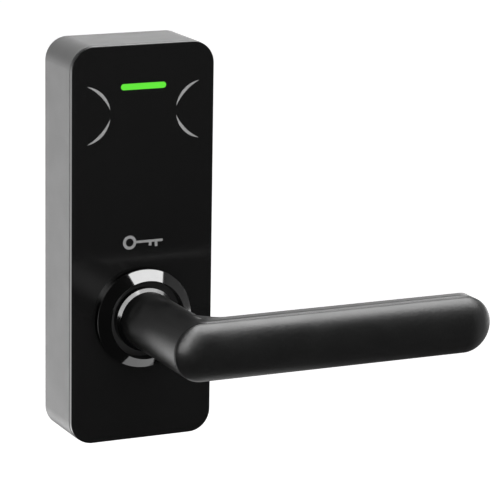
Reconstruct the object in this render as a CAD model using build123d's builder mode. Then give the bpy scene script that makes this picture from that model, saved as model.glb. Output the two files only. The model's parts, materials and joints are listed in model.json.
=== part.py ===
"""Electronic outside trim for a door: a slim reader escutcheon with a lever handle.

The origin is on the lever's turning axis, in the plane of the door's face. +X points along the lever,
+Y goes into the door and +Z is up. Every depth below is a distance in front of the door's face, which
is towards -Y. Sizes are in millimetres.
"""
from build123d import *
import math
import os

os.makedirs("parts", exist_ok=True)

# Driving dimensions ---------------------------------------------------------------------------------
width = 66.0
height = 175.0
depth = 31.0
axis_to_top = 120.0
corner_radius = 10.0
wall = 2.2
web = 2.4
plate_thickness = 2.0
seal_thickness = 0.4
base_thickness = 2.0
middle_z = axis_to_top - height / 2

neck_radius = 12.5
lever_length = 137.0
grip_back = 84.5
grip_rim = 94.6
grip_round = 3.5
crown_start = 95.5
crown_top = 100.2
seam = 0.3
inner_fillet = 7.0

bush_radius = 17.0
shank_radius = 13.0
running_clearance = 0.05
light_z = 101.8
marks_z = 90.3
badge_z = 33.6
post_spacing = 38.0
top_post_z = 100.0
clutch_travel = 2.0

casing_front = depth - plate_thickness - seal_thickness
plate_back = depth - plate_thickness
web_back = casing_front - web


# Helpers --------------------------------------------------------------------------------------------
def layer(distance):
    """The plane parallel to the door, at a distance in front of it, looking at the door."""
    return Plane.XZ.offset(distance)


def turned(*points, mode=Mode.ADD, arc=360):
    """Revolve a closed profile of (radius, depth) points about the lever's axis."""
    with BuildSketch(Plane.XY) as profile:
        with BuildLine():
            Polyline(*[(radius, -distance) for radius, distance in points], close=True)
        make_face()
    revolve(profile.sketch, axis=Axis.Y, revolution_arc=arc, mode=mode)


def tube(outer, inner, start, end, mode=Mode.ADD):
    """A plain ring or sleeve about the lever's axis."""
    turned((inner, start), (outer, start), (outer, end), (inner, end), mode=mode)


def pegs(places, radius, start, end, mode=Mode.ADD):
    """Round pegs or holes along Y at (x, z) places."""
    with BuildSketch(layer(start)) as rounds:
        with Locations(*places):
            Circle(radius)
    extrude(rounds.sketch, amount=end - start, mode=mode)


def block(place, size, start, end, mode=Mode.ADD, radius=0.0):
    """A block centred on an (x, z) place, with an (x, z) size and rounded corners if asked."""
    with BuildSketch(layer(start)) as outline:
        with Locations(place):
            if radius:
                RectangleRounded(size[0], size[1], radius)
            else:
                Rectangle(size[0], size[1])
    extrude(outline.sketch, amount=end - start, mode=mode)


def outline_block(inset, start, end, mode=Mode.ADD):
    """A block with the casing's outline, moved inwards by an inset."""
    size = (width - 2 * inset, height - 2 * inset)
    block((0, middle_z), size, start, end, mode=mode, radius=corner_radius - inset)


def finish(piece, name):
    """Label a piece and write it."""
    piece.part.label = name
    export_step(piece.part, f"parts/{name}.step")


# Casing and front -----------------------------------------------------------------------------------
boss_radius = 19.5
boss_back = 20.0
window_size = (46.0, 40.0)
screw_places = [(x, z) for x in (-25.5, 25.5) for z in (middle_z - 80.5, middle_z + 80.5)]
screw_boss_radius = 4.0
screw_hole_radius = 1.5
screw_reach = 10.0
window_round = 3.0
casing_round = 0.25

with BuildPart() as casing:
    outline_block(0, 0, casing_front)
    rim = casing.faces().sort_by(Axis.Y)[0].outer_wire().edges()
    fillet(rim, casing_round)
    outline_block(wall, 0, web_back, mode=Mode.SUBTRACT)
    pegs([(0, 0)], boss_radius, boss_back, web_back)
    pegs(screw_places, screw_boss_radius, base_thickness, web_back)
    pegs([(0, 0)], bush_radius, boss_back, casing_front, mode=Mode.SUBTRACT)
    pegs(screw_places, screw_hole_radius, base_thickness, screw_reach, mode=Mode.SUBTRACT)
    window = (web_back, casing_front)
    block((0, marks_z), window_size, *window, mode=Mode.SUBTRACT, radius=window_round)
finish(casing, "casing")

seal_inset = 0.8
seal_band = 2.4
with BuildPart() as plate_seal:
    outline_block(seal_inset, casing_front, plate_back)
    outline_block(seal_inset + seal_band, casing_front, plate_back, mode=Mode.SUBTRACT)
finish(plate_seal, "plate_seal")

light_length = 20.9
light_height = 2.7
inlay = 0.3
plate_inset = 0.15
plate_round = 0.3
rose_spigot_radius = 19.9
mark_inner_tip = (15.3, 1.9)
mark_outer_tip = (26.0, 12.6)
mark_outer_sagitta = 2.6
mark_inner_sagitta = 1.25


def draw_marks():
    """Four thin crescents, curved like brackets, about the middle of the reading field."""
    ax, ay = mark_inner_tip
    bx, by = mark_outer_tip
    diagonal = math.sqrt(0.5)
    middle = ((ax + bx) / 2, (ay + by) / 2)
    bulges = [
        (middle[0] - diagonal * sagitta, middle[1] + diagonal * sagitta)
        for sagitta in (mark_outer_sagitta, mark_inner_sagitta)
    ]
    with BuildSketch(layer(depth - inlay)) as marks:
        for side in (-1, 1):
            for rise in (-1, 1):
                tips = [(side * x, marks_z + rise * y) for x, y in ((ax, ay), (bx, by))]
                mids = [(side * x, marks_z + rise * y) for x, y in bulges]
                with BuildLine():
                    ThreePointArc(tips[0], mids[0], tips[1])
                    ThreePointArc(tips[1], mids[1], tips[0])
                make_face()
    return marks.sketch


badge_bow_x = -6.0
badge_bow_radius = 3.1
badge_bow_hole = 1.8
badge_shaft = (13.4, 1.1)
badge_overlap = 1.0
badge_tooth_width = 1.3
badge_teeth = ((6.4, 2.6), (3.6, 2.0))


def draw_badge():
    """A plain key pictogram: a ring, a shaft and two teeth."""
    with BuildSketch(layer(depth - inlay)) as badge:
        with Locations((badge_bow_x, badge_z)):
            Circle(badge_bow_radius)
        shaft_x = badge_bow_x + badge_bow_radius - badge_overlap + badge_shaft[0] / 2
        with Locations((shaft_x, badge_z)):
            Rectangle(*badge_shaft)
        for x, length in badge_teeth:
            with Locations((x, badge_z - length / 2)):
                Rectangle(badge_tooth_width, length)
        with Locations((badge_bow_x, badge_z)):
            Circle(badge_bow_hole, mode=Mode.SUBTRACT)
    return badge.sketch


def draw_light(grow=0.0, distance=plate_back):
    """The light bar's outline, a slot with round ends."""
    with BuildSketch(layer(distance)) as light:
        with Locations((0, light_z)):
            SlotOverall(light_length + 2 * grow, light_height + 2 * grow)
    return light.sketch


with BuildPart() as front_plate:
    outline_block(plate_inset, plate_back, depth)
    front_rim = front_plate.faces().sort_by(Axis.Y)[0].outer_wire().edges()
    fillet(front_rim, plate_round)
    pegs([(0, 0)], rose_spigot_radius, plate_back, depth, mode=Mode.SUBTRACT)
    extrude(draw_light(), amount=plate_thickness, mode=Mode.SUBTRACT)
    extrude(draw_marks(), amount=inlay, mode=Mode.SUBTRACT)
    extrude(draw_badge(), amount=inlay, mode=Mode.SUBTRACT)
finish(front_plate, "front_plate")

with BuildPart() as reader_marks:
    extrude(draw_marks(), amount=inlay)
finish(reader_marks, "reader_marks")

with BuildPart() as key_badge:
    extrude(draw_badge(), amount=inlay)
finish(key_badge, "key_badge")

flange = 1.2
flange_thickness = 0.9
flange_back = plate_back - flange_thickness
with BuildPart() as light_bar:
    extrude(draw_light(), amount=plate_thickness)
    extrude(draw_light(flange, flange_back), amount=plate_back - flange_back)
finish(light_bar, "light_bar")

# Rose and lever bearing -----------------------------------------------------------------------------
rose_radius = 22.0
rose_bore = bush_radius
rose_side = 3.0
rose_height = 6.6
rose_lip = 0.45
rose_round = 0.6
with BuildPart() as rose_ring:
    turned(
        (rose_bore, plate_back),
        (rose_spigot_radius, plate_back),
        (rose_spigot_radius, depth),
        (rose_radius, depth),
        (rose_radius, depth + rose_side),
        (rose_bore + rose_lip, depth + rose_height),
        (rose_bore, depth + rose_height),
    )
    rose_circles = rose_ring.edges().filter_by(GeomType.CIRCLE).group_by(SortBy.RADIUS)[-1]
    fillet(rose_circles.sort_by(Axis.Y)[0], rose_round)
finish(rose_ring, "rose_ring")

bush_front = 33.0
with BuildPart() as handle_bush:
    tube(bush_radius, shank_radius + running_clearance, boss_back, bush_front)
finish(handle_bush, "handle_bush")

# Lever ----------------------------------------------------------------------------------------------
shank_start = 15.2
shank_core = 12.0
clip_back = 18.2
clip_front = 19.5
clip_groove = 11.0
shank_front = 33.2
grip_end_x = lever_length - neck_radius
plug_inset = 0.6
plug_depth = 2.0
plug_front = grip_rim + seam
driver_screw_places = [(0, 9.0), (0, -9.0)]
driver_screw_radius = 1.5
driver_screw_end = shank_start + 6.0


def stadium(radius, distance):
    """The grip's outline from the front: two half circles joined by straight sides."""
    with BuildSketch(layer(distance)) as outline:
        with Locations((grip_end_x / 2, 0)):
            SlotOverall(grip_end_x + 2 * radius, 2 * radius)
    return outline.sketch


with BuildPart() as grip_body:
    extrude(stadium(neck_radius, grip_back), amount=grip_rim - grip_back)
    with BuildSketch(Plane.YZ.offset(-2 * neck_radius)) as grip_section:
        with Locations((-(grip_back + grip_rim) / 2, 0)):
            Rectangle(grip_rim - grip_back, 2 * neck_radius)
        back_corners = grip_section.vertices().group_by(Axis.Y)[-1]
        fillet(back_corners, grip_round)
    extrude(grip_section.sketch, amount=2 * lever_length, mode=Mode.INTERSECT)
    with BuildSketch(Plane.XY.offset(-2 * neck_radius)) as grip_plan:
        with Locations((lever_length / 2 - neck_radius / 2, -(grip_back + grip_rim) / 2)):
            Rectangle(lever_length + neck_radius, grip_rim - grip_back)
        tip_corner = grip_plan.vertices().group_by(Axis.X)[-1].sort_by(Axis.Y)[-1]
        fillet(tip_corner, 2 * grip_round)
    extrude(grip_plan.sketch, amount=4 * neck_radius, mode=Mode.INTERSECT)

with BuildPart() as inner_corner:
    with BuildSketch(Plane.XY) as corner_profile:
        with BuildLine():
            foot = (neck_radius, -(grip_back - inner_fillet))
            heel = (neck_radius + inner_fillet, -grip_back)
            bend = inner_fillet * (1 - math.sqrt(0.5))
            ThreePointArc(foot, (neck_radius + bend, -(grip_back - bend)), heel)
            Polyline(heel, (heel[0], -grip_back - grip_round), (0, -grip_back - grip_round),
                     (0, foot[1]), foot)
        make_face()
    revolve(corner_profile.sketch, axis=Axis.Y)
    with BuildSketch(Plane.YZ) as corner_limit:
        with BuildLine():
            round_bend = grip_round * (1 - math.sqrt(0.5))
            blend_z = neck_radius - round_bend
            blend = [(foot[1], neck_radius), (-grip_back - round_bend, blend_z)]
            upper = [*blend, (-grip_back - grip_round, blend_z)]
            lower = [(y, -z) for y, z in reversed(upper)]
            Polyline(*upper, *lower, close=True)
        make_face()
    extrude(corner_limit.sketch, amount=lever_length, mode=Mode.INTERSECT)

with BuildPart() as lever_handle:
    turned(
        (0, shank_start),
        (shank_core, shank_start),
        (shank_core, clip_back),
        (clip_groove, clip_back),
        (clip_groove, clip_front),
        (shank_core, clip_front),
        (shank_core, boss_back),
        (shank_radius, boss_back),
        (shank_radius, shank_front),
        (neck_radius, shank_front),
        (neck_radius, grip_rim),
        (0, grip_rim),
    )
    add(grip_body.part)
    add(inner_corner.part)
    plug_bottom = grip_rim - plug_depth
    extrude(stadium(neck_radius - plug_inset, plug_bottom), amount=2 * plug_depth, mode=Mode.SUBTRACT)
    threads = (shank_start, driver_screw_end)
    pegs(driver_screw_places, driver_screw_radius, *threads, mode=Mode.SUBTRACT)
finish(lever_handle, "lever_handle")

crown_rise = crown_top - crown_start
waste_margin = 5.0
half_space = 250.0
crown_arc_radius = (neck_radius**2 + crown_rise**2) / (2 * crown_rise)
with BuildPart() as grip_cover:
    extrude(stadium(neck_radius, plug_front), amount=crown_top - plug_front)
    with BuildSketch(Plane.YZ.offset(-2 * neck_radius)) as crown_section:
        with BuildLine():
            left, right = (-crown_start, -neck_radius), (-crown_start, neck_radius)
            ThreePointArc(left, (-crown_top, 0), right)
            Polyline(right, (-plug_front, neck_radius), (-plug_front, -neck_radius), left)
        make_face()
    extrude(crown_section.sketch, amount=2 * lever_length, mode=Mode.INTERSECT)
    for end_x, turn in ((0, 180), (grip_end_x, 0)):
        with BuildSketch(Plane.XY) as end_waste:
            with BuildLine():
                low = (neck_radius, -crown_start)
                angle = math.asin(neck_radius / 2 / crown_arc_radius)
                halfway = crown_top - crown_arc_radius * (1 - math.cos(angle))
                ThreePointArc(low, (neck_radius / 2, -halfway), (0, -crown_top))
                waste_radius = neck_radius + waste_margin
                waste_top = -crown_top - waste_margin
                Polyline((0, -crown_top), (0, waste_top), (waste_radius, waste_top))
                Polyline((waste_radius, waste_top), (waste_radius, -crown_start), low)
            make_face()
        waste = revolve(end_waste.sketch, axis=Axis.Y, mode=Mode.PRIVATE)
        sides = (Align.MIN, Align.CENTER, Align.CENTER)
        half = Box(half_space, half_space, half_space, align=sides, mode=Mode.PRIVATE)
        half_waste = Pos(end_x, 0, 0) * Rot(0, turn, 0) * (waste & half)
        add(half_waste, mode=Mode.SUBTRACT)
    extrude(stadium(neck_radius - plug_inset, plug_bottom), amount=plug_front - plug_bottom)
finish(grip_cover, "grip_cover")

collar_radius = 14.0
collar_front = depth + 6.4
collar_slope = (1.45, 0.9)
with BuildPart() as neck_collar:
    turned(
        (neck_radius, shank_front),
        (collar_radius, shank_front),
        (collar_radius, collar_front - collar_slope[1]),
        (collar_radius - collar_slope[0], collar_front),
        (neck_radius, collar_front),
    )
finish(neck_collar, "neck_collar")

clip_radius = 14.5
clip_gap = (12.0, 8.0)
clip_play = 0.1
washer_radius = 15.2
washer_play = 0.2
with BuildPart() as handle_circlip:
    tube(clip_radius, clip_groove, clip_back + clip_play, clip_front - clip_play)
    block((0, -clip_radius), clip_gap, 0, depth, mode=Mode.SUBTRACT)
finish(handle_circlip, "handle_circlip")

with BuildPart() as wave_washer:
    tube(washer_radius, shank_core + washer_play, clip_front, boss_back)
finish(wave_washer, "wave_washer")

# Clutch ---------------------------------------------------------------------------------------------
driver_back = 11.2
driver_radius = 12.0
driver_slot_floor = 1.0
driver_head_radius = 2.4
driver_head_back = driver_back + 0.1
driver_head_front = driver_back + 1.6
socket_radius = 1.0
socket_depth = 1.0
slot_inner, slot_outer = 7.0, 10.7
slot_half_angle = 22.0
dog_inner, dog_outer = 7.3, 10.4
dog_half_angle = 18.0


def sector(inner, outer, half_angle, middle_angle, start, end, mode=Mode.ADD):
    """A block that is a piece of a ring about the lever's axis."""
    with BuildSketch(layer(start)) as piece:
        with BuildLine():
            low = math.radians(middle_angle - half_angle)
            high = math.radians(middle_angle + half_angle)
            mid = math.radians(middle_angle)
            corners = [
                (radius * math.cos(angle), radius * math.sin(angle))
                for radius in (outer, inner)
                for angle in (low, mid, high)
            ]
            ThreePointArc(*corners[:3])
            Line(corners[2], corners[5])
            ThreePointArc(corners[5], corners[4], corners[3])
            Line(corners[3], corners[0])
        make_face()
    extrude(piece.sketch, amount=end - start, mode=mode)


with BuildPart() as handle_driver:
    pegs([(0, 0)], driver_radius, driver_back, shank_start)
    for angle in (0, 180):
        slot = (driver_back, shank_start - driver_slot_floor)
        sector(slot_inner, slot_outer, slot_half_angle, angle, *slot, Mode.SUBTRACT)
    pegs(driver_screw_places, driver_screw_radius, driver_back, shank_start, mode=Mode.SUBTRACT)
    pegs(driver_screw_places, driver_head_radius, driver_back, driver_head_front, mode=Mode.SUBTRACT)
finish(handle_driver, "handle_driver")

with BuildPart() as driver_screws:
    pegs(driver_screw_places, driver_screw_radius, driver_head_front, driver_screw_end)
    pegs(driver_screw_places, driver_head_radius, driver_head_back, driver_head_front)
    socket = (driver_head_back, driver_head_back + socket_depth)
    pegs(driver_screw_places, socket_radius, *socket, mode=Mode.SUBTRACT)
finish(driver_screws, "driver_screws")

hub_flange_radius = 11.0
hub_flange = (2.2, 4.2)
hub_boss_radius = 6.5
hub_top = 11.0
journal_radius = 8.0
journal_recess = 0.4
key_width, key_radius = 2.4, 7.6
square = 8.0
square_end = -45.0
square_start = 10.4
square_chamfer = 0.8
pin_depth = 3.2
pin_radius = 0.8
pin_length = 21.0
lug_width, lug_radius = 5.0, 14.5


def cross_pin(mode=Mode.ADD):
    """The pin along X that holds the square spindle in its hub."""
    with BuildSketch(Plane.YZ.offset(-pin_length / 2)) as pin_end:
        with Locations((-pin_depth, 0)):
            Circle(pin_radius)
    extrude(pin_end.sketch, amount=pin_length, mode=mode)


with BuildPart() as spindle_hub:
    pegs([(0, 0)], journal_radius, journal_recess, hub_flange[0])
    pegs([(0, 0)], hub_flange_radius, *hub_flange)
    pegs([(0, 0)], hub_boss_radius, hub_flange[1], hub_top)
    block((0, 0), (key_width, 2 * key_radius), hub_flange[1], hub_top)
    block((0, -lug_radius / 2), (lug_width, lug_radius), *hub_flange)
    block((0, 0), (square, square), 0, square_start, mode=Mode.SUBTRACT)
    cross_pin(Mode.SUBTRACT)
finish(spindle_hub, "spindle_hub")

with BuildPart() as square_spindle:
    block((0, 0), (square, square), square_end, square_start)
    chamfer(square_spindle.faces().sort_by(Axis.Y)[-1].edges(), square_chamfer)
    cross_pin(Mode.SUBTRACT)
finish(square_spindle, "square_spindle")

with BuildPart() as spindle_pin:
    cross_pin()
finish(spindle_pin, "spindle_pin")

ring_back, ring_front = 6.6, 10.6
groove = (7.8, 9.4)
groove_radius = 8.8
ring_radius = 10.5
key_play = 0.1
dog_height = 2.1
with BuildPart() as clutch_ring:
    turned(
        (hub_boss_radius + running_clearance, ring_back),
        (ring_radius, ring_back),
        (ring_radius, groove[0]),
        (groove_radius, groove[0]),
        (groove_radius, groove[1]),
        (ring_radius, groove[1]),
        (ring_radius, ring_front),
        (hub_boss_radius + running_clearance, ring_front),
    )
    keyway = (key_width + key_play, 2 * key_radius + key_play)
    block((0, 0), keyway, ring_back, ring_front, mode=Mode.SUBTRACT)
    for angle in (0, 180):
        sector(dog_inner, dog_outer, dog_half_angle, angle, ring_front, ring_front + dog_height)
finish(clutch_ring, "clutch_ring")

motor_z = 24.5
guide_x = 9.0
guide_radius = 1.0
fork_play = 0.1
fork = (groove[0] + fork_play, groove[1] - fork_play)
fork_inner, fork_outer = 9.0, 12.5
fork_half_angle = 88.0
fork_stem_z = 17.5
fork_stem = (9.0, 12.0)
fork_bridge = (2 * guide_x + 5.0, 6.0)
fork_bridge_round = 2.0
nut_radius = 3.0
nut_proud = 0.6
nut_play = 0.06
screw_radius = 1.5
screw_core = 1.2
screw_pitch = 1.0
with BuildPart() as clutch_fork:
    sector(fork_inner, fork_outer, fork_half_angle, 90, *fork)
    block((0, fork_stem_z), fork_stem, *fork)
    block((0, motor_z), fork_bridge, *fork, radius=fork_bridge_round)
    pegs([(0, motor_z)], nut_radius, fork[0] - nut_proud, fork[1] + nut_proud)
    pegs([(0, motor_z)], screw_radius + nut_play, 0, depth, mode=Mode.SUBTRACT)
    guides = [(-guide_x, motor_z), (guide_x, motor_z)]
    pegs(guides, guide_radius + running_clearance, 0, depth, mode=Mode.SUBTRACT)
finish(clutch_fork, "clutch_fork")

motor_back, motor_front = 12.0, 24.0
motor_radius = 4.0
motor_cap_radius = 1.6
motor_cap = 0.6
motor_bore_radius = 0.75
motor_bore_depth = 1.5
motor_flat = 0.8
bracket = (13.5, 18.5)
bracket_size = (2 * guide_x + 4.0, 10.0)
bracket_round = 2.0
with BuildPart() as fork_guide_pins:
    pegs(guides, guide_radius, base_thickness, bracket[1])
finish(fork_guide_pins, "fork_guide_pins")

with BuildPart() as motor_bracket:
    block((0, motor_z), bracket_size, *bracket, radius=bracket_round)
    pegs([(0, motor_z)], motor_radius, 0, depth, mode=Mode.SUBTRACT)
    pegs(guides, guide_radius, 0, depth, mode=Mode.SUBTRACT)
finish(motor_bracket, "motor_bracket")

with BuildPart() as drive_motor:
    pegs([(0, motor_z)], motor_radius, motor_back, motor_front)
    pegs([(0, motor_z)], motor_cap_radius, motor_back - motor_cap, motor_back)
    motor_bore = (motor_back - motor_cap, motor_back + motor_bore_depth)
    pegs([(0, motor_z)], motor_bore_radius, *motor_bore, mode=Mode.SUBTRACT)
    flat_waste = (4 * motor_radius, motor_flat)
    block((0, motor_z + motor_radius), flat_waste, 0, depth, mode=Mode.SUBTRACT)
finish(drive_motor, "drive_motor")

thread_start, thread_end = 3.2, 10.9
ridge_start, ridge_end = 0.35 * screw_pitch, 0.65 * screw_pitch
stub_radius = 0.7
stub_end = motor_back + 1.4
with BuildPart() as drive_screw:
    with BuildSketch(Plane(origin=(0, 0, motor_z), x_dir=(1, 0, 0), z_dir=(0, 0, 1))) as thread:
        with BuildLine():
            turns = int((thread_end - thread_start) / screw_pitch)
            ridge = [(0, -thread_start), (screw_core, -thread_start)]
            for turn in range(turns):
                foot_depth = thread_start + turn * screw_pitch
                ridge.append((screw_radius, -(foot_depth + ridge_start)))
                ridge.append((screw_radius, -(foot_depth + ridge_end)))
                ridge.append((screw_core, -(foot_depth + screw_pitch)))
            ridge += [(screw_core, -thread_end), (stub_radius, -thread_end)]
            ridge += [(stub_radius, -stub_end), (0, -stub_end)]
            Polyline(*ridge, close=True)
        make_face()
    revolve(thread.sketch, axis=Axis((0, 0, motor_z), (0, 1, 0)))
finish(drive_screw, "drive_screw")

wire_radius = 0.8
spring_radius = 13.9
spring_pitch = 1.75
spring_turns = 3
spring_start = 12.1
with BuildPart() as return_spring:
    with BuildLine() as spring_path:
        Helix(
            spring_pitch,
            spring_turns * spring_pitch,
            spring_radius,
            center=(0, -spring_start, 0),
            direction=(0, -1, 0),
        )
    start_plane = Plane(origin=spring_path.line @ 0, z_dir=spring_path.line % 0)
    with BuildSketch(start_plane):
        Circle(wire_radius)
    sweep()
finish(return_spring, "return_spring")

pin_gap = 0.1
stop_radius = 1.5
stop_reach = 12.5
stop_front = 5.0
lever_swing = 45.0
stop_side = lug_width / 2 + pin_gap + stop_radius
swing = math.radians(lever_swing)
far_stop = (
    -stop_side * math.cos(swing) - stop_reach * math.sin(swing),
    stop_side * math.sin(swing) - stop_reach * math.cos(swing),
)
with BuildPart() as stop_pins:
    pegs([(stop_side, -stop_reach), far_stop], stop_radius, base_thickness, stop_front)
finish(stop_pins, "stop_pins")

# Base plate and fixings -----------------------------------------------------------------------------
post_places = [(-post_spacing / 2, 0), (post_spacing / 2, 0), (0, top_post_z)]
post_radius = 4.0
post_end = -25.0
thread_radius = 2.1
thread_depth = 20.0
post_flange_radius = 6.0
post_flange = 1.8
base_play = 0.1
screw_head_radius = 3.0
screw_head = (0.2, 1.2)
screw_socket_radius = 1.0
grommet_place = (0, 46.0)
grommet_radius = 6.0
with BuildPart() as base_plate:
    outline_block(wall + base_play, 0, base_thickness)
    pegs([(0, 0)], journal_radius + running_clearance, 0, base_thickness, mode=Mode.SUBTRACT)
    pegs(post_places, post_radius, 0, base_thickness, mode=Mode.SUBTRACT)
    pegs([grommet_place], grommet_radius, 0, base_thickness, mode=Mode.SUBTRACT)
    pegs(screw_places, screw_hole_radius, 0, base_thickness, mode=Mode.SUBTRACT)
    pegs(screw_places, screw_head_radius, 0, screw_head[1], mode=Mode.SUBTRACT)
finish(base_plate, "base_plate")

with BuildPart() as fixing_posts:
    pegs(post_places, post_radius, post_end, base_thickness)
    pegs(post_places, post_flange_radius, base_thickness, base_thickness + post_flange)
    pegs(post_places, thread_radius, post_end, post_end + thread_depth, mode=Mode.SUBTRACT)
finish(fixing_posts, "fixing_posts")

with BuildPart() as casing_screws:
    pegs(screw_places, screw_hole_radius, screw_head[1], screw_reach)
    pegs(screw_places, screw_head_radius, *screw_head)
    pegs(screw_places, screw_socket_radius, *screw_head, mode=Mode.SUBTRACT)
finish(casing_screws, "casing_screws")

cable_radius = 3.5
grommet_lip = 1.5
with BuildPart() as cable_grommet:
    pegs([grommet_place], grommet_radius, 0, base_thickness)
    lip_radius = grommet_radius + grommet_lip
    pegs([grommet_place], lip_radius, base_thickness, base_thickness + grommet_lip)
    pegs([grommet_place], cable_radius, 0, depth, mode=Mode.SUBTRACT)
finish(cable_grommet, "cable_grommet")

# Reader ---------------------------------------------------------------------------------------------
board_size = (42.0, 36.0)
frame_wall = 2.0
reader_back, reader_front = 24.6, 25.8
frame_back = reader_back - 2.0
frame_front = plate_back - 1.2
frame_round = 3.1
frame_ledge = 2.0
board_round = 1.0
frame_notch = (14.0, 9.0)
with BuildPart() as reader_frame:
    outer_size = (board_size[0] + 2 * frame_wall, board_size[1] + 2 * frame_wall)
    block((0, marks_z), outer_size, frame_back, frame_front, radius=frame_round)
    seat = (reader_back, plate_back)
    block((0, marks_z), board_size, *seat, mode=Mode.SUBTRACT, radius=board_round)
    inner_size = (board_size[0] - 2 * frame_ledge, board_size[1] - 2 * frame_ledge)
    block((0, marks_z), inner_size, 0, depth, mode=Mode.SUBTRACT, radius=board_round)
    notch_z = marks_z - board_size[1] / 2
    block((0, notch_z), frame_notch, 0, reader_back, mode=Mode.SUBTRACT)
finish(reader_frame, "reader_frame")

with BuildPart() as reader_board:
    block((0, marks_z), board_size, reader_back, reader_front, radius=board_round)
finish(reader_board, "reader_board")

coil_centre = (0, marks_z - 3.5)
coil_size = (38.0, 26.0)
coil_turns = 4
coil_pitch = 1.2
coil_track = 0.6
coil_round = (4.0, 3.5)
coil = (reader_front, reader_front + 0.3)
with BuildPart() as antenna_coil:
    for turn in range(coil_turns):
        inset = turn * coil_pitch
        outer = (coil_size[0] - 2 * inset, coil_size[1] - 2 * inset)
        inner = (outer[0] - 2 * coil_track, outer[1] - 2 * coil_track)
        outer_round, inner_round = (corner - inset / 2 for corner in coil_round)
        block(coil_centre, outer, *coil, radius=outer_round)
        block(coil_centre, inner, *coil, mode=Mode.SUBTRACT, radius=inner_round)
finish(antenna_coil, "antenna_coil")

led_xs = (-6.5, 0.0, 6.5)
led_size = (3.5, 2.6)
led_height = 1.6
led_round = 0.4
with BuildPart() as reader_leds:
    for led_x in led_xs:
        leds = (reader_front, reader_front + led_height)
        block((led_x, light_z), led_size, *leds, radius=led_round)
finish(reader_leds, "reader_leds")

connector_z = 77.0
connector_size = (13.0, 4.0)
connector_height = 2.2
with BuildPart() as reader_connector:
    block((0, connector_z), connector_size, reader_back - connector_height, reader_back)
finish(reader_connector, "reader_connector")

# Control board --------------------------------------------------------------------------------------
main_z = 49.0
main_size = (54.0, 34.0)
main_back = 18.0
main_front = 19.6
main_round = 2.0
pillar_radius = 2.6
pillar_hole_radius = 1.5
board_screw_radius = 1.25
board_screw_start = 10.0
board_head_radius = 2.4
board_head_front = main_front + 1.6
board_head_slot = (3.2, 0.6)
board_head_slot_floor = main_front + 1.0
pillar_places = [(x, main_z + z) for x in (-24.0, 24.0) for z in (-14.0, 14.0)]
with BuildPart() as main_board:
    block((0, main_z), main_size, main_back, main_front, radius=main_round)
    pegs(pillar_places, pillar_hole_radius, main_back, main_front, mode=Mode.SUBTRACT)
finish(main_board, "main_board")

with BuildPart() as board_pillars:
    pegs(pillar_places, pillar_radius, base_thickness, main_back)
    pegs(pillar_places, board_screw_radius, board_screw_start, main_back, mode=Mode.SUBTRACT)
finish(board_pillars, "board_pillars")

with BuildPart() as board_screws:
    pegs(pillar_places, board_screw_radius, board_screw_start, main_front)
    pegs(pillar_places, board_head_radius, main_front, board_head_front)
    for place in pillar_places:
        slot = (board_head_slot_floor, board_head_front)
        block(place, board_head_slot, *slot, mode=Mode.SUBTRACT)
finish(board_screws, "board_screws")

chip_place = (-3.0, main_z + 2.0)
chip_size = (9.0, 9.0)
chip_height = 1.1
shield_round = 0.6
with BuildPart() as microcontroller:
    block(chip_place, chip_size, main_front, main_front + chip_height, radius=led_round)
finish(microcontroller, "microcontroller")

radio_x = 13.0
radio_size = (14.0, 18.0)
radio_top = main_front + 0.8
shield_z = main_z - 1.5
shield_size = (12.6, 13.0)
shield_top = main_front + 2.6
with BuildPart() as radio_module:
    block((radio_x, main_z), radio_size, main_front, radio_top)
    block((radio_x, shield_z), shield_size, radio_top, shield_top, radius=shield_round)
finish(radio_module, "radio_module")

buzzer_place = (-16.0, main_z - 3.0)
buzzer_radius = 5.5
buzzer_front = main_front + 4.2
buzzer_hole_radius = 1.0
buzzer_hole_depth = 1.0
with BuildPart() as buzzer:
    pegs([buzzer_place], buzzer_radius, main_front, buzzer_front)
    buzzer_hole = (buzzer_front - buzzer_hole_depth, buzzer_front)
    pegs([buzzer_place], buzzer_hole_radius, *buzzer_hole, mode=Mode.SUBTRACT)
finish(buzzer, "buzzer")

board_connector_place = (0, main_z + 13.0)
board_connector_size = (13.0, 5.0)
board_connector_height = 3.0
with BuildPart() as board_connector:
    connector = (main_front, main_front + board_connector_height)
    block(board_connector_place, board_connector_size, *connector)
finish(board_connector, "board_connector")

ribbon_width = 9.0
ribbon_thickness = 0.3
ribbon_bend = 1.2
ribbon_start_z = main_z + 15.5
ribbon_rise_z = main_z + 20.0
ribbon_fall_z = connector_z - 5.0
ribbon_end_z = connector_z - 2.0
board_plug = main_front + 2.0
reader_plug = reader_back - 0.9
with BuildPart() as ribbon_cable:
    with BuildSketch(Plane.YZ.offset(-ribbon_width / 2)) as strip:
        with BuildLine():
            FilletPolyline(
                (-board_plug, ribbon_start_z),
                (-board_plug, ribbon_rise_z),
                (-reader_plug, ribbon_fall_z),
                (-reader_plug, ribbon_end_z),
                radius=ribbon_bend,
            )
        trace(line_width=ribbon_thickness)
    extrude(strip.sketch, amount=ribbon_width)
finish(ribbon_cable, "ribbon_cable")

# Power ----------------------------------------------------------------------------------------------
cell_radius = 8.5
cell_length = 34.5
cell_depth = 13.0
cell_z = -36.0
contact_thickness = 0.5
contact_width = 10.0
contact = (cell_depth - 6.0, cell_depth + 5.0)
contact_play = 0.1
holder_size = (cell_length + 8.0, 2 * cell_radius + 3.0)
holder_round = 1.0
cell_play = 0.2
cell_body = cell_length - 1.2
cell_round = 0.8
button_radius = 3.0
button_height = 0.7


def cell_shape(radius, length, mode=Mode.ADD):
    """A cylinder along X where the cell lies."""
    with BuildSketch(Plane.YZ.offset(-length / 2)) as end:
        with Locations((-cell_depth, cell_z)):
            Circle(radius)
    extrude(end.sketch, amount=length, mode=mode)


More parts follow.
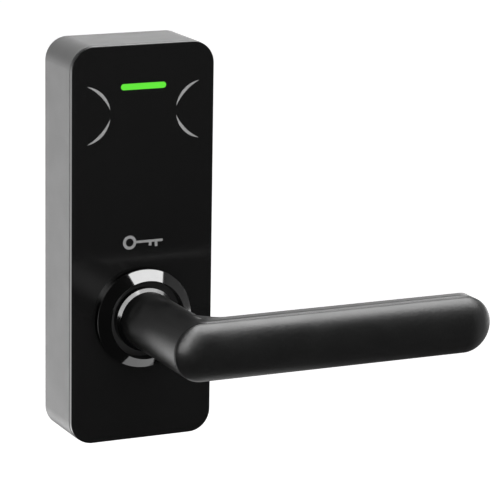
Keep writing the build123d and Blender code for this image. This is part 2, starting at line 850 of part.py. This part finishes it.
with BuildPart() as battery_holder:
    block((0, cell_z), holder_size, base_thickness, cell_depth, radius=holder_round)
    bay_length = cell_length + 2 * (contact_thickness + cell_play)
    cell_shape(cell_radius + cell_play, bay_length, mode=Mode.SUBTRACT)
finish(battery_holder, "battery_holder")

with BuildPart() as battery_cell:
    cell_shape(cell_radius, cell_body)
    fillet(battery_cell.edges().filter_by(GeomType.CIRCLE), cell_round)
    with BuildSketch(Plane.YZ.offset(cell_length / 2 - button_height)) as button:
        with Locations((-cell_depth, cell_z)):
            Circle(button_radius)
    extrude(button.sketch, amount=button_height)
finish(battery_cell, "battery_cell")

with BuildPart() as battery_contacts:
    for side in (-1, 1):
        contact_x = side * (cell_length / 2 + contact_thickness / 2 + contact_play)
        block((contact_x, cell_z), (contact_thickness, contact_width), *contact)
finish(battery_contacts, "battery_contacts")
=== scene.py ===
"""Looks of the electronic door trim: materials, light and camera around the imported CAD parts."""

import json
import math

import bmesh
import bpy
from mathutils import Matrix, Vector


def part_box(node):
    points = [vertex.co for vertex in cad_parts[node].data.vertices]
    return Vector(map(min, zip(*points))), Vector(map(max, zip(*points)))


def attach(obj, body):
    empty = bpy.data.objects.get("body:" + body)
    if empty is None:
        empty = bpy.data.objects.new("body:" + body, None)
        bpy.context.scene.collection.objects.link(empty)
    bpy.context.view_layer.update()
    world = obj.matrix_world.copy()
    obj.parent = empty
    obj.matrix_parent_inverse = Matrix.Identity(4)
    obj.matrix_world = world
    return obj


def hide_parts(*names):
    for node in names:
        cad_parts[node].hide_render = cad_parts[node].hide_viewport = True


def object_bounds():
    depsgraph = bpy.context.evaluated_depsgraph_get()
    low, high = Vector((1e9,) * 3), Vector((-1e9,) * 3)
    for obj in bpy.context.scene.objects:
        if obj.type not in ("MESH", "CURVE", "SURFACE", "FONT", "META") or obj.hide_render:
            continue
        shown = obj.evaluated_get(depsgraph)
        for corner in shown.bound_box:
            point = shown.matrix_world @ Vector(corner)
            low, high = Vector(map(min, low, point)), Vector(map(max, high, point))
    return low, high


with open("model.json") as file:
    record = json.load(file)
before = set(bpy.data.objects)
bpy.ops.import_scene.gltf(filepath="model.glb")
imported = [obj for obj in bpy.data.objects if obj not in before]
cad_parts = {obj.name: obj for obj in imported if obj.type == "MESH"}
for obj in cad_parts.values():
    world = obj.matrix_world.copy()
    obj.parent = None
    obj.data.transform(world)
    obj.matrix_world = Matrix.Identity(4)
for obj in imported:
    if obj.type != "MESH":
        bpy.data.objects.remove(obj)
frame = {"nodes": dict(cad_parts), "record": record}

CAD_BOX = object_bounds()
MM = 0.001

# ---------------------------------------------------------------- camera and light, driving values
CAMERA_AZIMUTH = 25.14  # degrees the camera stands to the left of straight on
CAMERA_ELEVATION = 13.34  # degrees it stands above the aim point
CAMERA_ROLL = 0.92  # degrees it leans
CAMERA_DISTANCE = 1.280
CAMERA_LENS = 209.3
AIM_FROM_CENTRE = Vector((-0.0006, -0.0034, -0.0071))  # from the CAD box's centre to the aim point

WORLD_BACK = 2.6  # brightness of the white room behind the door's plane
WORLD_UP_SHARE = 0.15  # how much of that is left high up
WORLD_DOWN_SHARE = 0.10  # and low down behind the lever
WORLD_RIGHT_GAIN = 1.9  # how much brighter the room is far to the right
WORLD_FRONT = 0.03  # brightness of the dark room in front of the door
WORLD_FRONT_RIGHT = 0.3  # and of its right-hand end
BACK_START = (0.14, 0.18)  # how far back a direction points where the bright room starts
BACK_START_LEFT = 0.2  # how much sooner it starts towards the left
UP_FADE = (-0.35, 0.35)  # heights between which the room fades upwards
UP_LEAN = 0.3  # how much that fade leans with the direction's X
UP_LEAN_LIMIT = -0.35  # X past which it leans no further
DOWN_FADE = (-0.6, -0.3)  # the same for the fade low down behind the lever
RIGHT_GAIN_SPAN = (0.45, 0.95)
FRONT_RIGHT_SPAN = (0.6, 0.9)
BACKGROUND = 1.0  # brightness that the camera sees past the floor
FLOOR_DROP = 0.45  # floor below the object's lowest point
FLOOR_SIDE = 24.0
FLOOR_GLOW = 0.8
FLOOR_FIBRE = 0.02
ALONG = Vector((1, 0, 0))
DOWN = Vector((0, 0, -1))
STRIP_AXIS = Vector((-0.50, -0.05, -0.61))

# name: (centre from the rose, facing or None for towards the rose, long axis, width, length, luminance)
SOFTBOXES = {
    "overhead": (Vector((0.40, -0.45, 0.70)), DOWN, ALONG, 0.56, 0.88, 7.5),
    "right_front": (Vector((1.15, -0.62, 0.70)), DOWN, ALONG, 0.26, 0.62, 6.0),
    "left_strip": (Vector((-0.33, -0.79, 0.40)), None, STRIP_AXIS, 0.20, 1.15, 7.5),
    "high_strip": (Vector((0.28, 0.34, 0.85)), None, ALONG, 0.26, 0.80, 7.0),
    "low_card": (Vector((0.10, 0.03, -0.40)), -DOWN, ALONG, 0.24, 0.24, 1.3),
}


# ---------------------------------------------------------------- node helpers
def node(tree, kind, inputs=None, **settings):
    """Adds a shader node, sets its properties, then links or sets its inputs by name or number."""
    made = tree.nodes.new(kind)
    for name, value in settings.items():
        setattr(made, name, value)
    for name, value in (inputs or {}).items():
        if isinstance(value, bpy.types.NodeSocket):
            tree.links.new(value, made.inputs[name])
        else:
            made.inputs[name].default_value = value
    return made


def grey(level, tint=0.0):
    """A near-neutral colour; a positive tint is a little blue."""
    return (level * (1 - tint), level, level * (1 + tint), 1.0)


def object_point(tree):
    return node(tree, "ShaderNodeTexCoord").outputs["Object"]


def stretched(tree, point, scale):
    """The point with each axis scaled on its own, for brushed or drawn-out grain."""
    return node(tree, "ShaderNodeMapping", {"Vector": point, "Scale": scale}).outputs[0]


def noise(tree, point, size, detail=3.0, rough=0.55):
    """Noise whose features are about size metres across, from 0 to 1."""
    inputs = {"Vector": point, "Scale": 1.0 / size, "Detail": detail, "Roughness": rough}
    return node(tree, "ShaderNodeTexNoise", inputs).outputs["Fac"]


def remap(tree, value, low, high, to_low, to_high, smooth=False):
    kind = "SMOOTHSTEP" if smooth else "LINEAR"
    inputs = {0: value, 1: low, 2: high, 3: to_low, 4: to_high}
    return node(tree, "ShaderNodeMapRange", inputs, interpolation_type=kind).outputs[0]


def math_node(tree, operation, first, second=0.0):
    return node(tree, "ShaderNodeMath", {0: first, 1: second}, operation=operation).outputs[0]


def blend_colour(tree, share, first, second):
    made = node(tree, "ShaderNodeMix", data_type="RGBA")
    sockets = {"Factor": share, "A": first, "B": second}
    wanted = {"Factor": made.inputs[0], "A": made.inputs[6], "B": made.inputs[7]}
    for name, socket in wanted.items():
        value = sockets[name]
        if isinstance(value, bpy.types.NodeSocket):
            tree.links.new(value, socket)
        else:
            socket.default_value = value
    return made.outputs[2]


def bump(tree, height, depth, strength=1.0, under=None):
    """A bump of that depth in metres, over another bump if one is given."""
    inputs = {"Height": height, "Distance": depth, "Strength": strength}
    if under is not None:
        inputs["Normal"] = under
    return node(tree, "ShaderNodeBump", inputs).outputs[0]


def edge_share(tree, radius, point, patch_size=1.2 * MM):
    """1 on worn edges and 0 on flats, broken up by noise."""
    soft = node(tree, "ShaderNodeBevel", {"Radius": radius}, samples=4).outputs[0]
    true = node(tree, "ShaderNodeNewGeometry").outputs["Normal"]
    match = node(tree, "ShaderNodeVectorMath", {0: soft, 1: true}, operation="DOT_PRODUCT")
    edge = remap(tree, match.outputs["Value"], 0.999, 0.93, 0.0, 1.0, smooth=True)
    patches = remap(tree, noise(tree, point, patch_size), 0.42, 0.62, 0.15, 1.0, smooth=True)
    return math_node(tree, "MULTIPLY", edge, patches)


def new_material(name, **constants):
    """A material with its Principled shader; constants are set on the shader's own sockets."""
    material = bpy.data.materials.new(name)
    material.use_nodes = True
    tree = material.node_tree
    shader = tree.nodes["Principled BSDF"]
    for socket, value in constants.items():
        shader.inputs[socket.replace("_", " ")].default_value = value
    return material, tree, shader


def connect(tree, shader, **links):
    for socket, output in links.items():
        tree.links.new(output, shader.inputs[socket.replace("_", " ")])


# ---------------------------------------------------------------- painted and moulded finishes
def painted(name, colour, worn, rough, grain, depth, swing=0.02, **constants):
    """Sprayed paint with fine orange peel, cloudy gloss and edges rubbed a little lighter."""
    material, tree, shader = new_material(name, **constants)
    point = object_point(tree)
    fine = noise(tree, point, grain, detail=4.0)
    clouds = noise(tree, point, 14 * MM, detail=2.0)
    edge = edge_share(tree, 0.35 * MM, point)
    flecks = remap(tree, fine, 0.35, 0.7, 0.0, 0.35)
    base = blend_colour(tree, flecks, colour, worn)
    base = blend_colour(tree, math_node(tree, "MULTIPLY", edge, 0.5), base, worn)
    gloss = remap(tree, clouds, 0.3, 0.7, rough - 0.03, rough + 0.03)
    gloss = math_node(tree, "ADD", gloss, remap(tree, fine, 0.3, 0.7, -swing, swing))
    connect(tree, shader, Base_Color=base, Roughness=gloss, Normal=bump(tree, fine, depth))
    return material


def casing_paint():
    return painted(
        "casing_paint", grey(0.115), grey(0.16), rough=0.40, grain=0.35 * MM, depth=0.004 * MM,
        Specular_IOR_Level=0.35,
    )


def lever_black():
    return painted(
        "lever_black", grey(0.003), grey(0.007), rough=0.33, grain=1.1 * MM, depth=0.035 * MM,
        swing=0.03, IOR=1.65,
    )


def moulded(name, colour, rough, texture, depth, **constants):
    """Moulded plastic or rubber with the tool's spark texture and faint flow clouds."""
    material, tree, shader = new_material(name, **constants)
    point = object_point(tree)
    spark = noise(tree, point, texture, detail=5.0, rough=0.65)
    flow = noise(tree, stretched(tree, point, (1.0, 1.0, 0.35)), 9 * MM, detail=2.0)
    lighter = tuple(min(1.0, c * 1.5 + 0.004) for c in colour[:3]) + (1.0,)
    edge = edge_share(tree, 0.2 * MM, point)
    base = blend_colour(tree, remap(tree, flow, 0.3, 0.7, 0.0, 0.25), colour, lighter)
    base = blend_colour(tree, math_node(tree, "MULTIPLY", edge, 0.35), base, lighter)
    gloss = remap(tree, spark, 0.25, 0.75, rough - 0.05, rough + 0.05)
    connect(tree, shader, Base_Color=base, Roughness=gloss, Normal=bump(tree, spark, depth))
    return material


def front_gloss():
    """Deep black gloss sheet with a hint of orange peel and faint wiping marks in its gloss."""
    material, tree, shader = new_material("front_gloss", Specular_IOR_Level=0.45)
    point = object_point(tree)
    peel = noise(tree, point, 6 * MM, detail=1.0)
    smears = noise(tree, stretched(tree, point, (1.0, 1.0, 0.25)), 7 * MM, detail=4.0)
    dust = noise(tree, point, 0.25 * MM, detail=2.0)
    base = blend_colour(tree, remap(tree, dust, 0.66, 0.8, 0.0, 1.0), grey(0.0042), grey(0.011))
    gloss = remap(tree, smears, 0.35, 0.75, 0.07, 0.15)
    edge = edge_share(tree, 0.25 * MM, point)
    base = blend_colour(tree, math_node(tree, "MULTIPLY", edge, 0.5), base, grey(0.02))
    connect(tree, shader, Base_Color=base, Roughness=gloss, Normal=bump(tree, peel, 0.002 * MM))
    return material


LIGHT_MIDDLE = (0.112, 0.74, 0.038, 1.0)
LIGHT_RIM = (0.030, 0.26, 0.012, 1.0)
LIGHT_GRAIN = (0.10, 0.72, 0.03, 1.0)
LIGHT_UNLIT = (0.01, 0.05, 0.005, 1.0)


def light_green():
    """Lit light guide: bright along its middle, deeper green towards its rim."""
    material, tree, shader = new_material("light_green", Roughness=0.25, Emission_Strength=1.0)
    low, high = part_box("light_bar")
    middle = (low + high) / 2
    half_height = (high.z - low.z) / 2
    point = object_point(tree)
    axes = node(tree, "ShaderNodeSeparateXYZ", {0: point})
    across = math_node(tree, "ABSOLUTE", math_node(tree, "SUBTRACT", axes.outputs["Z"], middle.z))
    along = math_node(tree, "ABSOLUTE", math_node(tree, "SUBTRACT", axes.outputs["X"], middle.x))
    past = math_node(tree, "SUBTRACT", along, (high.x - low.x) / 2 - half_height)
    past = math_node(tree, "MAXIMUM", past, 0.0)
    square_across = math_node(tree, "POWER", across, 2.0)
    square_past = math_node(tree, "POWER", past, 2.0)
    reach = math_node(tree, "SQRT", math_node(tree, "ADD", square_across, square_past))
    rim = remap(tree, reach, 0.45 * half_height, 0.95 * half_height, 0.0, 1.0, smooth=True)
    grain = noise(tree, point, 1.5 * MM)
    glow = blend_colour(tree, rim, LIGHT_MIDDLE, LIGHT_RIM)
    glow = blend_colour(tree, remap(tree, grain, 0.3, 0.7, 0.0, 0.12), glow, LIGHT_GRAIN)
    connect(tree, shader, Emission_Color=glow)
    shader.inputs["Base Color"].default_value = LIGHT_UNLIT
    return material


def mark_grey():
    """Satin grey inlay with fine brushed lines."""
    material, tree, shader = new_material("mark_grey")
    point = object_point(tree)
    lines = noise(tree, stretched(tree, point, (0.2, 1.0, 2.0)), 0.35 * MM, detail=3.0)
    base = blend_colour(tree, remap(tree, lines, 0.3, 0.7, 0.0, 1.0), grey(0.16), grey(0.21))
    gloss = remap(tree, lines, 0.3, 0.7, 0.32, 0.45)
    connect(tree, shader, Base_Color=base, Roughness=gloss, Normal=bump(tree, lines, 0.003 * MM))
    return material


# ---------------------------------------------------------------- metals
EVEN = (1.0, 1.0, 1.0)


def metal(name, colour, rough, scratch=0.25 * MM, stretch=EVEN, depth=0.002 * MM, stain=0.15):
    """Bare or plated metal: fine scratches, cloudy tarnish and bright rubbed edges."""
    material, tree, shader = new_material(name, Metallic=1.0)
    point = object_point(tree)
    lines = noise(tree, stretched(tree, point, stretch), scratch, detail=4.0, rough=0.6)
    clouds = noise(tree, point, 6 * MM, detail=3.0)
    darker = tuple(c * (1 - stain) for c in colour[:3]) + (1.0,)
    brighter = tuple(min(1.0, c * 1.25) for c in colour[:3]) + (1.0,)
    base = blend_colour(tree, remap(tree, clouds, 0.3, 0.7, 0.0, 1.0, smooth=True), colour, darker)
    base = blend_colour(tree, edge_share(tree, 0.2 * MM, point), base, brighter)
    gloss = remap(tree, lines, 0.3, 0.7, rough * 0.75, rough * 1.3)
    connect(tree, shader, Base_Color=base, Roughness=gloss, Normal=bump(tree, lines, depth))
    return material


def black_chrome():
    plating = {"scratch": 0.5 * MM, "depth": 0.0004 * MM, "stain": 0.05}
    return metal("black_chrome", grey(0.10), rough=0.07, **plating)


def collar_chrome_painted_shade():
    """The collar's plating as a darker, softer copy of the rose's black chrome: painted shade that dims
    the collar's reflections.
    """
    plating = {"scratch": 0.4 * MM, "depth": 0.0006 * MM, "stain": 0.08}
    return metal("collar_chrome_painted_shade", grey(0.062), rough=0.13, **plating)


# ---------------------------------------------------------------- stage
def world_shade(tree, x, y, z):
    """The room's brightness in a direction."""
    lean = math_node(tree, "MULTIPLY", math_node(tree, "MAXIMUM", x, UP_LEAN_LIMIT), UP_LEAN)
    climb = math_node(tree, "SUBTRACT", z, lean)
    up_share = remap(tree, climb, *UP_FADE, 1.0, WORLD_UP_SHARE, smooth=True)
    fall = math_node(tree, "SUBTRACT", z, math_node(tree, "MULTIPLY", x, y))
    down_share = remap(tree, fall, *DOWN_FADE, WORLD_DOWN_SHARE, 1.0, smooth=True)
    share = math_node(tree, "MULTIPLY", up_share, down_share)
    right_gain = remap(tree, x, *RIGHT_GAIN_SPAN, 1.0, WORLD_RIGHT_GAIN, smooth=True)
    back = math_node(tree, "MULTIPLY", math_node(tree, "MULTIPLY", share, right_gain), WORLD_BACK)
    front = remap(tree, x, *FRONT_RIGHT_SPAN, WORLD_FRONT, WORLD_FRONT_RIGHT, smooth=True)
    left = math_node(tree, "MULTIPLY", math_node(tree, "MINIMUM", x, 0.0), BACK_START_LEFT)
    depth = math_node(tree, "SUBTRACT", y, left)
    side = remap(tree, depth, *BACK_START, 0.0, 1.0, smooth=True)
    return node(tree, "ShaderNodeMix", {0: side, 2: front, 3: back}, data_type="FLOAT").outputs[0]


def make_world():
    """A white room behind the door's plane, a dark one in front and a pale wall for the camera."""
    world = bpy.data.worlds.new("studio")
    bpy.context.scene.world = world
    world.use_nodes = True
    tree = world.node_tree
    tree.nodes.clear()
    direction = node(tree, "ShaderNodeTexCoord").outputs["Generated"]
    axes = node(tree, "ShaderNodeSeparateXYZ", {0: direction}).outputs
    shade = world_shade(tree, axes["X"], axes["Y"], axes["Z"])
    light = node(tree, "ShaderNodeBackground", {"Color": grey(1.0), "Strength": shade})
    wall = node(tree, "ShaderNodeBackground", {"Color": grey(1.0), "Strength": BACKGROUND})
    seen = node(tree, "ShaderNodeLightPath").outputs["Is Camera Ray"]
    shown = node(tree, "ShaderNodeMixShader", {0: seen, 1: light.outputs[0], 2: wall.outputs[0]})
    node(tree, "ShaderNodeOutputWorld", {"Surface": shown.outputs[0]})


def softbox(name, centre, facing, long_axis, width, length, luminance):
    """A soft rectangular light of that brightness in a mirror, which the camera doesn't see."""
    data = bpy.data.lights.new(name, "AREA")
    data.shape = "RECTANGLE"
    data.size = width
    data.size_y = length
    data.energy = luminance * width * length * math.pi
    light = bpy.data.objects.new(name, data)
    bpy.context.collection.objects.link(light)
    back = -Vector(facing).normalized()
    side = Vector(long_axis).cross(back).normalized()
    turn = Matrix((side, back.cross(side), back)).transposed()
    light.matrix_world = Matrix.Translation(centre) @ turn.to_4x4()
    light.visible_camera = False


def make_lights():
    """Softboxes above, at the front right, to the left and high behind, and a pale card below."""
    low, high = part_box("rose_ring")
    rose = (low + high) / 2
    for name, (offset, facing, long_axis, width, length, luminance) in SOFTBOXES.items():
        aim = -offset if facing is None else facing
        softbox(name, rose + offset, aim, long_axis, width, length, luminance)


def make_floor():
    bpy.ops.mesh.primitive_plane_add(size=FLOOR_SIDE)
    floor = bpy.context.object
    floor.name = "floor"
    floor.location = (0, 0, CAD_BOX[0].z - FLOOR_DROP)
    material, tree, shader = new_material("floor_paper", Roughness=0.9, Emission_Strength=FLOOR_GLOW)
    fibre = noise(tree, object_point(tree), FLOOR_FIBRE)
    base = blend_colour(tree, remap(tree, fibre, 0.3, 0.7, 0.0, 1.0), grey(0.86), grey(0.88))
    connect(tree, shader, Base_Color=base)
    floor.data.materials.append(material)
    floor.visible_glossy = False


def make_camera():
    data = bpy.data.cameras.new("camera")
    data.lens = CAMERA_LENS
    data.clip_start = 0.01
    data.clip_end = 100.0
    camera = bpy.data.objects.new("camera", data)
    bpy.context.collection.objects.link(camera)
    bpy.context.scene.camera = camera
    azimuth = math.radians(-CAMERA_AZIMUTH)
    elevation = math.radians(CAMERA_ELEVATION)
    reach = math.cos(elevation)
    back = Vector((math.sin(azimuth) * reach, -math.cos(azimuth) * reach, math.sin(elevation)))
    aim = (CAD_BOX[0] + CAD_BOX[1]) / 2 + AIM_FROM_CENTRE
    camera.location = aim + back * CAMERA_DISTANCE
    level = (-back).to_track_quat("-Z", "Y").to_matrix()
    camera.rotation_euler = (level @ Matrix.Rotation(math.radians(CAMERA_ROLL), 3, "Z")).to_euler()


# ---------------------------------------------------------------- grip cover
COVER_RISE = 4.7 * MM  # height of the crown over its rim
COVER_LIP = 5.3 * MM  # from the crown's top back to the cover's lip
COVER_PLUG_INSET = 0.75 * MM
COVER_EDGE = 0.22 * MM  # rounding between the crown and the lip
COVER_BEND = 0.3  # share of that rounding at its middle
COVER_SHARP = 50.0  # degrees
COVER_WELD = 1e-6
ARC_STEPS = 48
SIDE_STEPS = 40
CROWN_STEPS = 20


def stadium_ring(mesh, near, far, radius, depth):
    """Vertices round a slot outline at that depth: two half circles and two straight sides."""
    ring = []
    for centre, start in ((far, -math.pi / 2), (near, math.pi / 2)):
        for step in range(ARC_STEPS + 1):
            angle = start + math.pi * step / ARC_STEPS
            ring.append((centre + radius * math.cos(angle), depth, radius * math.sin(angle)))
        side = -1 if centre == near else 1
        for step in range(1, SIDE_STEPS):
            share = step / SIDE_STEPS
            x = (far + (near - far) * share) if side > 0 else (near + (far - near) * share)
            ring.append((x, depth, side * radius))
    return [mesh.verts.new(point) for point in ring]


def cover_profile(radius, top, back):
    """(distance from the spine, depth) points from the back's middle, round the rim, to the crown."""
    sphere = (radius**2 + COVER_RISE**2) / (2 * COVER_RISE)
    lip = top + COVER_LIP

    def crown(distance):
        return top + sphere - math.sqrt(sphere**2 - distance**2)

    points = [(0.0, back), (radius - COVER_PLUG_INSET, back), (radius - COVER_PLUG_INSET, lip)]
    points += [(radius - COVER_EDGE, lip), (radius, lip - COVER_EDGE)]
    points.append((radius, crown(radius) + COVER_EDGE))
    bend = COVER_BEND * COVER_EDGE
    points.append((radius - bend, crown(radius) + bend))
    for step in range(CROWN_STEPS + 1):
        distance = (radius - COVER_EDGE) * (1 - step / CROWN_STEPS)
        points.append((distance, crown(distance)))
    return points


def make_grip_cover():
    """The crowned cover of the grip, as one smooth skin of rings about its spine."""
    low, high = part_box("grip_cover")
    radius = (high.z - low.z) / 2
    near, far = low.x + radius, high.x - radius
    mesh = bmesh.new()
    profile = cover_profile(radius, low.y, high.y)
    rings = [stadium_ring(mesh, near, far, distance, depth) for distance, depth in profile]
    for first, second in zip(rings, rings[1:]):
        for index in range(len(first)):
            following = (index + 1) % len(first)
            mesh.faces.new((first[index], first[following], second[following], second[index]))
    bmesh.ops.remove_doubles(mesh, verts=mesh.verts, dist=COVER_WELD)
    bmesh.ops.recalc_face_normals(mesh, faces=mesh.faces)
    data = bpy.data.meshes.new("grip_cover_skin")
    mesh.to_mesh(data)
    mesh.free()
    data.shade_smooth()
    data.set_sharp_from_angle(angle=math.radians(COVER_SHARP))
    cover = bpy.data.objects.new("grip_cover_skin", data)
    bpy.context.collection.objects.link(cover)
    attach(cover, "lever")
    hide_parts("grip_cover")
    return cover


# ---------------------------------------------------------------- putting the finishes on the parts
IVORY = (0.75, 0.72, 0.62, 1.0)
RIBBON = (0.70, 0.72, 0.74, 1.0)


def finishes():
    """One material for each of the record's slots."""
    return {
        "casing_paint": casing_paint(),
        "front_gloss": front_gloss(),
        "seal_rubber": moulded("seal_rubber", grey(0.012), 0.7, 0.3 * MM, 0.01 * MM),
        "light_green": light_green(),
        "mark_grey": mark_grey(),
        "black_chrome": black_chrome(),
        "lever_black": lever_black(),
        "nylon": moulded("nylon", grey(0.02), 0.5, 0.25 * MM, 0.006 * MM),
        "spring_steel": metal("spring_steel", grey(0.26), 0.25, stretch=(0.3, 0.3, 1.0)),
        "zinc_steel": metal("zinc_steel", grey(0.30, 0.02), 0.32, depth=0.004 * MM),
        "hard_steel": metal("hard_steel", grey(0.24), 0.28, stretch=(2.0, 0.1, 2.0)),
        "board_green": moulded("board_green", (0.012, 0.11, 0.04, 1.0), 0.3, 0.4 * MM, 0.003 * MM),
        "copper": metal("copper", (0.72, 0.36, 0.20, 1.0), 0.3),
        "led_white": moulded("led_white", (0.8, 0.8, 0.68, 1.0), 0.25, 0.2 * MM, 0.002 * MM),
        "connector_white": moulded("connector_white", IVORY, 0.45, 0.2 * MM, 0.004 * MM),
        "ribbon_white": moulded("ribbon_white", RIBBON, 0.35, 0.5 * MM, 0.003 * MM),
        "chip_black": moulded("chip_black", grey(0.02), 0.55, 0.15 * MM, 0.004 * MM),
        "can_tin": metal("can_tin", grey(0.36), 0.22),
        "brass": metal("brass", (0.72, 0.52, 0.22, 1.0), 0.22),
        "cell_wrap": moulded("cell_wrap", (0.05, 0.12, 0.32, 1.0), 0.28, 0.6 * MM, 0.003 * MM),
    }


def dress_nodes():
    made = finishes()
    for row in frame["record"]["subparts"]:
        part = frame["nodes"][row["node"]]
        part.data.materials.clear()
        part.data.materials.append(made[row["material_slot"]])
    # the collar gets a darker copy of the rose's black chrome, painted shade standing in for dimmer
    # reflections
    frame["nodes"]["neck_collar"].data.materials[0] = collar_chrome_painted_shade()
    make_grip_cover().data.materials.append(made["lever_black"])


bpy.context.scene.view_settings.view_transform = "Standard"
make_camera()
make_world()
make_lights()
make_floor()
dress_nodes()
